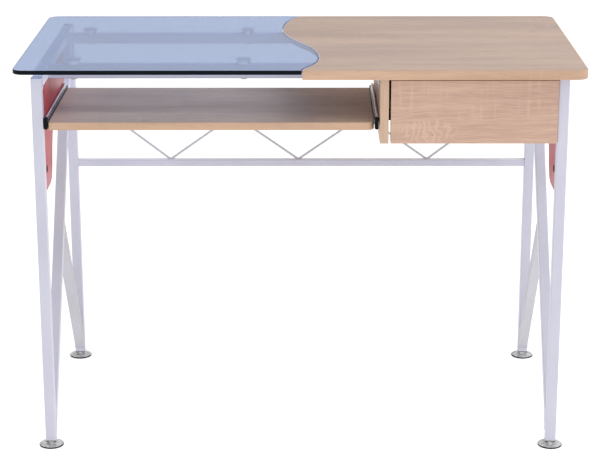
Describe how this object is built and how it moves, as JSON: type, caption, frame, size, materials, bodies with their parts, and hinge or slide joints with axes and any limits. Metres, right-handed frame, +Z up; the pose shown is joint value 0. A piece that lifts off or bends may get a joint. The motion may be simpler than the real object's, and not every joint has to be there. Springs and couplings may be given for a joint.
{
  "type": "computer desk",
  "caption": "Tube-framed desk with a glass and wood top, a sliding keyboard tray and a drawer on ball-bearing slides.",
  "frame": {"origin": "on the floor under the middle of the top's outline", "axes": "+Z up, +X to the seated user's right, -Y towards the user (the front, where the tray and the drawer pull out)"},
  "size_m": [1.06, 0.555, 0.75],
  "materials": {
    "white_steel": "satin powder coat",
    "red_steel": "satin powder coat",
    "oak": "matt sawn-oak foil with a matching edge band",
    "glass": "blue-tinted, polished edge",
    "chrome": "bright",
    "zinc_steel": "bright zinc plate",
    "black_plastic": "moulded",
    "dark_board": "dark melamine"
  },
  "bodies": {
    "root": {"divider_bracket_front": "zinc_steel", "divider_bracket_rear": "zinc_steel", "divider_panel": "oak", "drawer_slide_left_outer": "zinc_steel", "drawer_slide_right_outer": "zinc_steel", "front_leg_left": "white_steel", "front_leg_right": "white_steel", "front_rail": "white_steel", "glass_screw_front_left": "zinc_steel", "glass_screw_front_right": "zinc_steel", "glass_screw_rear_left": "zinc_steel", "glass_screw_rear_right": "zinc_steel", "glass_support_front_left": "chrome", "glass_support_front_right": "chrome", "glass_support_rear_left": "chrome", "glass_support_rear_right": "chrome", "glass_top": "glass", "long_brace_left": "white_steel", "long_brace_right": "white_steel", "rear_leg_left": "white_steel", "rear_leg_right": "white_steel", "rear_rail": "white_steel", "short_brace_left": "white_steel", "short_brace_right": "white_steel", "side_panel_left": "red_steel", "side_panel_right": "red_steel", "side_rail_left": "white_steel", "side_rail_right": "white_steel", "tray_slide_left_outer": "zinc_steel", "tray_slide_right_outer": "zinc_steel", "truss_lower_rail": "white_steel", "truss_rod_1": "white_steel", "truss_rod_2": "white_steel", "truss_rod_3": "white_steel", "truss_rod_4": "white_steel", "truss_rod_5": "white_steel", "truss_rod_6": "white_steel", "truss_upper_rail": "white_steel", "wood_top": "oak"},
    "keyboard_tray": {"keyboard_tray": "oak", "tray_slide_cap_left": "black_plastic", "tray_slide_cap_right": "black_plastic", "tray_slide_left_inner": "zinc_steel", "tray_slide_right_inner": "zinc_steel"},
    "tray_cage_left": {"tray_slide_left_ball_cage": "zinc_steel"},
    "tray_cage_right": {"tray_slide_right_ball_cage": "zinc_steel"},
    "drawer": {"drawer_back": "dark_board", "drawer_bottom": "dark_board", "drawer_front": "oak", "drawer_side_left": "dark_board", "drawer_side_right": "dark_board", "drawer_slide_left_inner": "zinc_steel", "drawer_slide_right_inner": "zinc_steel"},
    "drawer_cage_left": {"drawer_slide_left_ball_cage": "zinc_steel"},
    "drawer_cage_right": {"drawer_slide_right_ball_cage": "zinc_steel"},
    "front_foot_left": {"front_foot_left": "chrome"},
    "front_foot_right": {"front_foot_right": "chrome"},
    "rear_foot_left": {"rear_foot_left": "chrome"},
    "rear_foot_right": {"rear_foot_right": "chrome"}
  },
  "joints": [
    {"name": "tray_slide", "type": "slide", "parent": "root", "child": "keyboard_tray", "axis": [0, -1, 0], "range_m": [0, 0.22]},
    {"name": "tray_cage_left_slide", "type": "slide", "parent": "root", "child": "tray_cage_left", "axis": [0, -1, 0], "range_m": [0, 0.11]},
    {"name": "tray_cage_right_slide", "type": "slide", "parent": "root", "child": "tray_cage_right", "axis": [0, -1, 0], "range_m": [0, 0.11]},
    {"name": "drawer_slide", "type": "slide", "parent": "root", "child": "drawer", "axis": [0, -1, 0], "range_m": [0, 0.22]},
    {"name": "drawer_cage_left_slide", "type": "slide", "parent": "root", "child": "drawer_cage_left", "axis": [0, -1, 0], "range_m": [0, 0.11]},
    {"name": "drawer_cage_right_slide", "type": "slide", "parent": "root", "child": "drawer_cage_right", "axis": [0, -1, 0], "range_m": [0, 0.11]},
    {"name": "front_foot_left_turn", "type": "hinge", "parent": "root", "child": "front_foot_left", "pos_m": [-0.487, -0.2525, 0.012], "axis": [0, 0, 1], "continuous": true},
    {"name": "front_foot_right_turn", "type": "hinge", "parent": "root", "child": "front_foot_right", "pos_m": [0.487, -0.2525, 0.012], "axis": [0, 0, 1], "continuous": true},
    {"name": "rear_foot_left_turn", "type": "hinge", "parent": "root", "child": "rear_foot_left", "pos_m": [-0.487, 0.2445, 0.012], "axis": [0, 0, 1], "continuous": true},
    {"name": "rear_foot_right_turn", "type": "hinge", "parent": "root", "child": "rear_foot_right", "pos_m": [0.487, 0.2445, 0.012], "axis": [0, 0, 1], "continuous": true}
  ],
  "couplings": [
    {"joint": "tray_cage_left_slide", "follows": "tray_slide", "ratio": 0.5},
    {"joint": "tray_cage_right_slide", "follows": "tray_slide", "ratio": 0.5},
    {"joint": "drawer_cage_left_slide", "follows": "drawer_slide", "ratio": 0.5},
    {"joint": "drawer_cage_right_slide", "follows": "drawer_slide", "ratio": 0.5}
  ]
}
